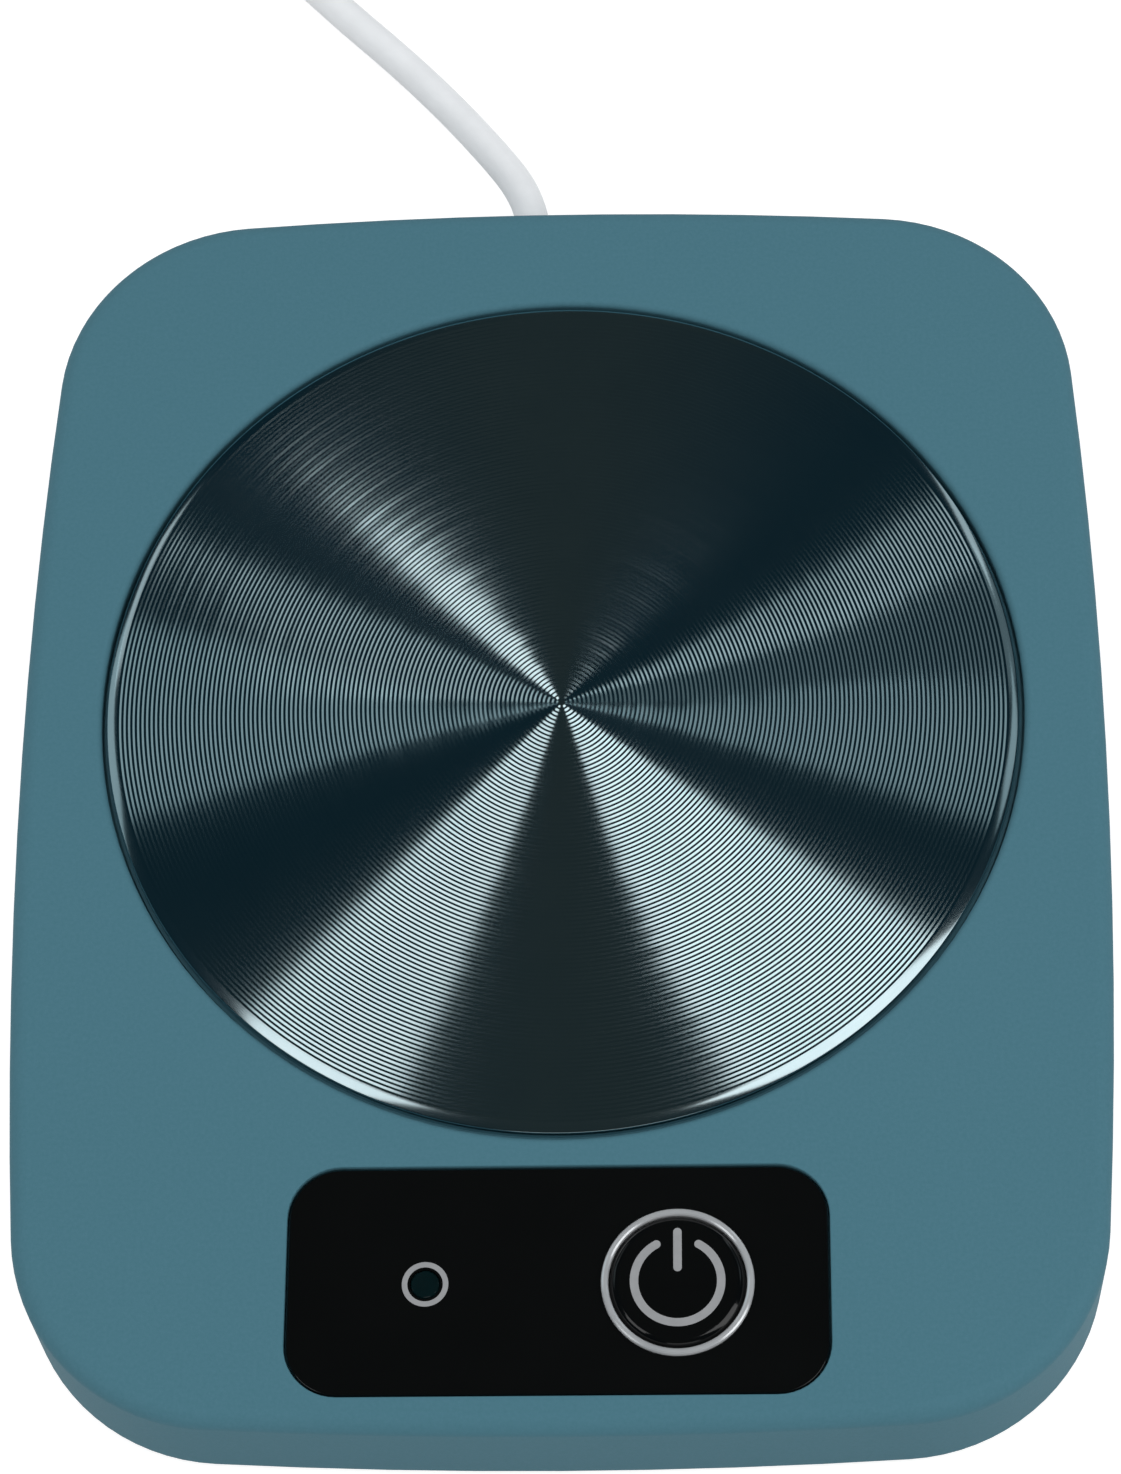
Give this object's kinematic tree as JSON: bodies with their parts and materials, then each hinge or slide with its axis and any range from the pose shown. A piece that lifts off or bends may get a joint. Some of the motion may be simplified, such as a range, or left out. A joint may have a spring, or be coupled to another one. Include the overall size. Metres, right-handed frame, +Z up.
{
  "type": "electric mug warmer",
  "caption": "Flat desktop mug warmer: rounded teal housing, round turned-metal heating plate, glossy black panel with a power button and an indicator, and a thin white supply lead.",
  "frame": {"origin": "on the table, under the middle of the housing (the cord, its grommet, its coil and the plug are left out of the measure)", "axes": "+Z up, +Y towards the back where the cord leaves, +X to the right seen from the control panel"},
  "size_m": [0.108, 0.2327, 0.0152],
  "materials": {
    "shell": "soft-touch matte",
    "cover": "fine texture",
    "plate": "turned, fine concentric grooves",
    "panel": "high gloss",
    "button": "high gloss",
    "bright": "mirror",
    "print": "satin grey print",
    "lens": "smoked, glossy",
    "feet": "matt",
    "steel": "satin",
    "tin": "pressed sheet",
    "silicone": "matt",
    "film": "amber film",
    "fibre": "felted",
    "board": "lacquered laminate",
    "black": "moulded",
    "ivory": "moulded",
    "lead": "insulated wire",
    "glassbead": "bead",
    "cord": "satin white",
    "gold": "plated"
  },
  "bodies": {
    "housing": {"top_shell": "shell", "bottom_cover": "cover", "rubber_feet": "feet", "case_screws": "steel", "heating_plate": "plate", "plate_gasket": "silicone", "heating_film": "film", "insulation_pad": "fibre", "heat_shield": "tin", "shield_screws": "steel", "thermistor": "glassbead", "thermal_fuse": "steel", "heater_leads": "lead", "sensor_leads": "black", "control_panel": "panel", "panel_adhesive": "ivory", "indicator_ring": "print", "indicator_lens": "lens", "indicator_led": "ivory", "button_bezel": "bright", "switch_body": "black", "switch_cover": "tin", "switch_dome": "tin", "circuit_board": "board", "board_screws": "steel", "controller_chip": "black", "power_transistor": "black", "filter_capacitor": "tin", "chip_resistors": "black", "heater_connector": "ivory", "supply_connector": "ivory", "supply_leads": "lead", "cord_grommet": "cord", "cord_clamp": "black", "clamp_screws": "steel", "inner_cord": "cord", "cord": "cord", "cord_coil": "cord", "cord_tail": "cord", "plug_body": "cord", "plug_shell": "bright", "plug_tongue": "ivory", "plug_contacts": "gold"},
    "button": {"power_button": "button", "power_symbol": "print"},
    "plunger": {"switch_plunger": "ivory"}
  },
  "joints": [
    {"name": "button_press", "type": "slide", "parent": "housing", "child": "button", "axis": [0, 0, -1], "range_m": [0, 0.0003], "stiffness_N_per_m": 4000, "springref_m": -0.0002},
    {"name": "plunger_press", "type": "slide", "parent": "housing", "child": "plunger", "axis": [0, 0, -1], "range_m": [0, 0.0003], "deforming": ["switch_dome"]}
  ],
  "couplings": [
    {"joint": "plunger_press", "follows": "button_press", "ratio": 1}
  ]
}
